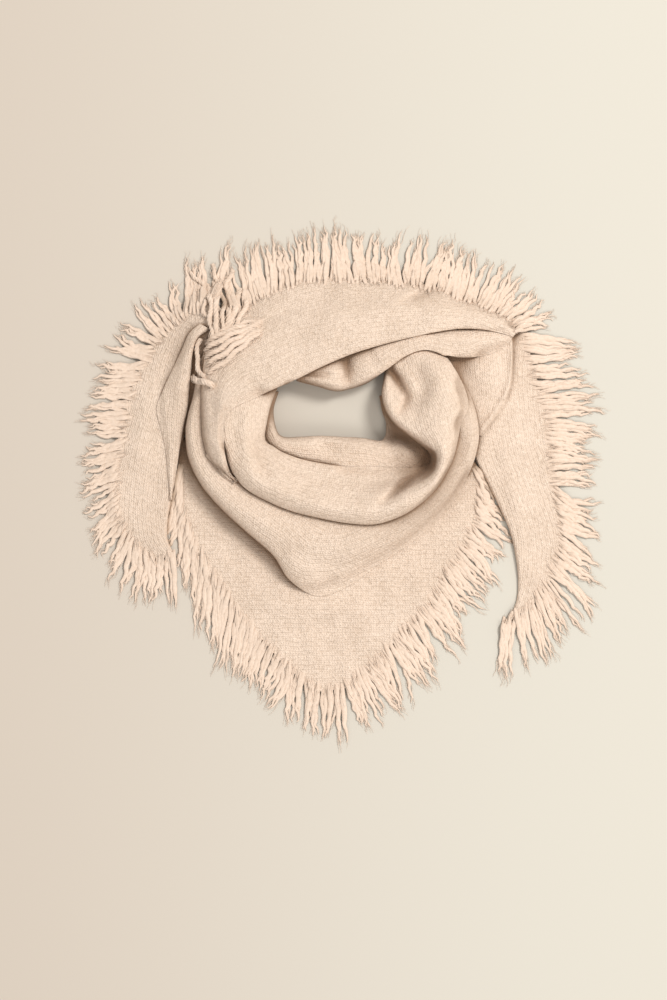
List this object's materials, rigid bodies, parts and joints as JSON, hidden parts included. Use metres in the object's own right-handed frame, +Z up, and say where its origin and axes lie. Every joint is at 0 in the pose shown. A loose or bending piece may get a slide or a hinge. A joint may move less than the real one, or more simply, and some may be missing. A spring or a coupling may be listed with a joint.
{
  "type": "knit shawl",
  "caption": "Triangular wool knit shawl with fringed short edges, wound once round a neck hole and laid flat, its point in front and both tails at the sides.",
  "frame": {"origin": "middle of the shawl's outline, on the surface it lies on", "axes": "+Z up, out of the surface; +Y towards the back of the neck hole and the top fringe, -Y towards the point of the bib; +X towards the tail at the right as seen from above"},
  "size_m": [0.5308, 0.524, 0.0502],
  "materials": {
    "knit": "matt cream wool knit",
    "fringe": "matt cream wool yarn"
  },
  "bodies": {
    "root": {"hidden_layers": "knit", "neck_inner_layer": "knit", "front_bib": "knit", "fringe_bib_left": "fringe", "fringe_bib_right": "fringe", "right_tail": "knit", "right_tail_cover": "knit", "fringe_right_tail": "fringe", "left_tail": "knit", "left_tail_fold": "knit", "fringe_left_tail": "fringe", "outer_drape": "knit", "inner_drape": "knit", "lower_back_layer": "knit", "upper_band": "knit", "fringe_top": "fringe", "fringe_knot_across": "fringe", "fringe_knot_down": "fringe"}
  },
  "joints": []
}
